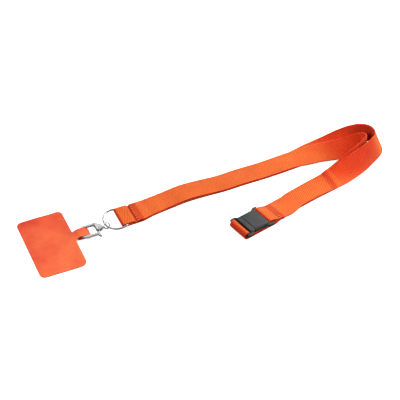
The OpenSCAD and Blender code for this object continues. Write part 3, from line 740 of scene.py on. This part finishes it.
# ---- Phone patch ----------------------------------------------------------------------------
# One T of coated sheet, die cut, 0.35 mm thick: its tongue goes up over the hook's bow and back
# beneath it. A thin grey liner backs the part that sits in the phone's case.
PATCH_L, PATCH_W, PATCH_R, PATCH_T = 40 * MM, 71 * MM, 5 * MM, 0.35 * MM
TONGUE_W, TONGUE_FILLET = 9.8 * MM, 2.6 * MM
PATCH_AT = by_hook(29.5, 0.7)
SHEET_MID, LINER_MID, LINER_T = 0.395 * MM, 0.115 * MM, 0.18 * MM
TONGUE_LIFT, LIFT_REACH, LIFT_FADE = 2.0, 0.42, 0.35
HUMP_SWAY, HUMP_WAVES, HUMP_SHIFT = 0.4, 5.5, 0.7
SHEET_CUTS_X, SHEET_CUTS_Y, TONGUE_CUTS = 24, 36, 90
TOUCHING = 1e-5
TONGUE_LINE = [
    (0.0, 2.395), (0.7, 2.6), (1.8, 3.05), (2.9, 3.6), (3.8, 4.05), (4.8, 4.175), (6, 4.175),
    (8.7, 4.15), (10.4, 3.85), (12.1, 2.8), (13.2, 1.8), (13.8, 1.1), (13.5, 0.5),
    (12.6, 0.395), (9, 0.395), (5, 0.395), (3, 0.7), (1.4, 1.9)]


def tongue_curve():
    """The tongue's line as (length so far, x, z), its corners softened."""
    points = [Vector((x, z)) * MM for x, z in TONGUE_LINE]
    fine = []
    for i in range(len(points) - 1):
        a, b, c, d = (points[min(max(k, 0), len(points) - 1)] for k in range(i - 1, i + 3))
        for k in range(10):
            t = k / 10
            fine.append(0.5 * (2 * b + (c - a) * t + (2 * a - 5 * b + 4 * c - d) * t * t
                               + (3 * b - a - 3 * c + d) * t ** 3))
    fine.append(points[-1])
    rows, so_far = [], 0.0
    for i, p in enumerate(fine):
        so_far += (p - fine[max(i - 1, 0)]).length
        rows.append((so_far, p.x, p.y))
    return rows


TONGUE_CURVE = tongue_curve()
TONGUE_L = TONGUE_CURVE[-1][0]


def patch_warp(x, y):
    """The stiff sheet's rise off the table: a slack hump, and the hook's lift at the tongue."""
    along = min(max(-x / PATCH_L, 0), 1)
    hump = 0.5 * (1 - math.cos(2 * math.pi * along))
    hump *= 1 - HUMP_SWAY + HUMP_SWAY * math.sin(HUMP_WAVES * y / PATCH_W + HUMP_SHIFT)
    near = max(1 - along / LIFT_REACH, 0)
    return MM * (hump + TONGUE_LIFT * near * near * (1 - LIFT_FADE * (2 * y / PATCH_W) ** 2))


def cut_sheet(name, tongue, thickness, middle, edge):
    """A die-cut sheet: the flat outline, cut into strips, laid along its line and thickened."""
    bpy.ops.object.select_all(action="DESELECT")
    bpy.ops.mesh.primitive_plane_add(size=1.0)
    sheet = bpy.context.object
    sheet.name = name
    for v in sheet.data.vertices:
        v.co = Vector(((v.co.x - 0.5) * PATCH_L, v.co.y * PATCH_W, 0))
    bpy.ops.object.mode_set(mode="EDIT")
    if tongue:
        for side in (-1, 1):
            bpy.ops.mesh.select_all(action="SELECT")
            bpy.ops.mesh.bisect(plane_co=(0, side * TONGUE_W / 2, 0), plane_no=(0, 1, 0))
        bpy.ops.object.mode_set(mode="OBJECT")
        for e in sheet.data.edges:
            ends = [sheet.data.vertices[i].co for i in e.vertices]
            e.select = all(p.x > -MM and abs(p.y) < TONGUE_W / 2 + TOUCHING for p in ends)
        for f in sheet.data.polygons:
            f.select = False
        bpy.ops.object.mode_set(mode="EDIT")
        bpy.ops.mesh.select_mode(type="EDGE")
        bpy.ops.mesh.extrude_region_move(TRANSFORM_OT_translate={"value": (TONGUE_L, 0, 0)})
        bpy.ops.mesh.select_all(action="SELECT")
        bpy.ops.mesh.dissolve_limited(angle_limit=math.radians(1))
    for radius, root in ((PATCH_R, False), (TONGUE_FILLET, True)):
        bpy.ops.object.mode_set(mode="OBJECT")
        for v in sheet.data.vertices:
            side = TONGUE_W / 2 if root else PATCH_W / 2
            v.select = (abs(abs(v.co.y) - side) < TOUCHING
                        and (abs(v.co.x) < TOUCHING or not root))
        for item in [*sheet.data.edges, *sheet.data.polygons]:
            item.select = False
        bpy.ops.object.mode_set(mode="EDIT")
        bpy.ops.mesh.select_mode(type="VERT")
        if tongue or not root:
            bpy.ops.mesh.bevel(offset=radius, segments=10, affect="VERTICES")
    cuts = [(-PATCH_L + (k + 0.5) * PATCH_L / SHEET_CUTS_X, 0, (1, 0, 0))
            for k in range(SHEET_CUTS_X)]
    cuts += [(0, -PATCH_W / 2 + (k + 0.5) * PATCH_W / SHEET_CUTS_Y, (0, 1, 0))
             for k in range(SHEET_CUTS_Y)]
    if tongue:
        cuts += [(k * TONGUE_L / TONGUE_CUTS, 0, (1, 0, 0)) for k in range(TONGUE_CUTS)]
    for x, y, normal in cuts:
        bpy.ops.mesh.select_all(action="SELECT")
        bpy.ops.mesh.bisect(plane_co=(x, y, 0), plane_no=normal)
    bpy.ops.object.mode_set(mode="OBJECT")
    mesh = sheet.data
    spread = mesh.uv_layers.active or mesh.uv_layers.new(name="flat")
    for loop in mesh.loops:
        spread.data[loop.index].uv = mesh.vertices[loop.vertex_index].co.xy
    for v in mesh.vertices:
        x, y = v.co.x, v.co.y
        if x <= 0:
            v.co = Vector((x, y, middle + patch_warp(x, y)))
        else:
            i = min(bisect.bisect_right(TONGUE_CURVE, (x,)), len(TONGUE_CURVE) - 1)
            (s0, x0, z0), (s1, x1, z1) = TONGUE_CURVE[max(i - 1, 0)], TONGUE_CURVE[i]
            t = min(max((x - s0) / max(s1 - s0, 1e-9), 0), 1)
            v.co = Vector((x0 + (x1 - x0) * t, y, z0 + (z1 - z0) * t))
    thick = sheet.modifiers.new("thickness", "SOLIDIFY")
    thick.thickness, thick.offset = thickness, 0.0
    bpy.ops.object.modifier_apply(modifier="thickness")
    bpy.ops.object.mode_set(mode="EDIT")
    bpy.ops.mesh.select_all(action="SELECT")
    bpy.ops.mesh.normals_make_consistent(inside=False)
    bpy.ops.object.mode_set(mode="OBJECT")
    soften = sheet.modifiers.new("cut_edge", "BEVEL")
    soften.width, soften.segments, soften.limit_method = edge, 2, "ANGLE"
    soften.angle_limit = math.radians(60)
    bpy.ops.object.modifier_apply(modifier="cut_edge")
    bpy.ops.object.shade_smooth()
    sheet.data.transform(Matrix.Translation((PATCH_AT.x, PATCH_AT.y, 0))
                         @ Matrix.Rotation(math.radians(TETHER_DIR), 4, "Z"))
    return sheet


coated, tree, shader = finish_material("orange_coated_sheet")
place = wire(tree, "ShaderNodeUVMap").outputs["UV"]
grains = grain_over(tree, place, 2200.0, 38.0)
# Painted shade, darker towards the patch's far left corner where the sheet bends; the grain's
# stains vary the colour too.
flat = wire(tree, "ShaderNodeSeparateXYZ", {"Vector": place}).outputs
stains_and_corner_shade = wire(tree, "ShaderNodeMath", {0: flat["Y"], 1: -4.6, 2: grains["Mask"]},
             operation="MULTIPLY_ADD").outputs[0]
stains_and_corner_shade = wire(tree, "ShaderNodeMath", {0: flat["X"], 1: 3.6, 2: stains_and_corner_shade},
             operation="MULTIPLY_ADD").outputs[0]
tree.links.new(ramp(tree, stains_and_corner_shade, [(0.3, (0.56, 0.042, 0.012)), (0.5, (0.67, 0.09, 0.028)),
                                  (0.8, (0.76, 0.15, 0.046))]), shader.inputs["Base Color"])
follow_stains(tree, shader, grains["Mask"], 0.38, 0.52)
emboss(tree, shader, grains["Height"], 0.25, 0.00006)
phone_patch = cut_sheet("phone_patch_sheet", True, PATCH_T, SHEET_MID, 0.07 * MM)
phone_patch.data.materials.append(coated)
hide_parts("patch_face", "tongue_loop")
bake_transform(phone_patch)

liner, tree, shader = finish_material("grey_liner")
grains = grain_over(tree, wire(tree, "ShaderNodeUVMap").outputs["UV"], 1500.0, 60.0)
tree.links.new(ramp(tree, grains["Mask"], [(0.4, (0.05, 0.05, 0.052)),
                                           (0.9, (0.11, 0.11, 0.112))]),
               shader.inputs["Base Color"])
emboss(tree, shader, grains["Height"], 0.4, 0.00005)
shader.inputs["Roughness"].default_value = 0.75
patch_liner = cut_sheet("patch_liner", False, LINER_T, LINER_MID, 0.04 * MM)
patch_liner.data.materials.append(liner)
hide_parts("patch_backing")
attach(patch_liner, "patch")

# ---- Buckle ---------------------------------------------------------------------------------
# Breakaway buckle in black acetal: a hollow socket and a plug with two sprung prongs, each with
# a bar for its strap; the moulds are spark-textured and leave soft edges.
acetal, tree, shader = finish_material("black_acetal")
grains = grain_over(tree, wire(tree, "ShaderNodeTexCoord").outputs["Object"], 2600.0, 120.0)
tree.links.new(ramp(tree, grains["Mask"], [(0.4, (0.03, 0.03, 0.031)),
                                           (0.9, (0.062, 0.062, 0.064))]),
               shader.inputs["Base Color"])
follow_stains(tree, shader, grains["Mask"], 0.42, 0.6)
emboss(tree, shader, grains["Height"], 0.5, 0.00008)
MOULD_EDGE = 0.28 * MM
cast_piece("buckle_socket_moulded", "buckle_socket", "root", acetal, MOULD_EDGE)
plug_moulded = cast_piece("buckle_plug_moulded", "buckle_plug", "plug", acetal,
                          MOULD_EDGE)
# The collar stands a little back from the socket, which leaves the groove between them.
COLLAR_FACE_X, COLLAR_FACE_REACH, GROOVE_WIDER = -4.85 * MM, 0.4 * MM, 0.42 * MM
for v in plug_moulded.data.vertices:
    if abs((v.co - BUCKLE_AT).dot(BUCKLE_RUN) - COLLAR_FACE_X) < COLLAR_FACE_REACH:
        v.co -= GROOVE_WIDER * BUCKLE_RUN

# ---- Close ----------------------------------------------------------------------------------
bpy.ops.object.select_all(action="DESELECT")
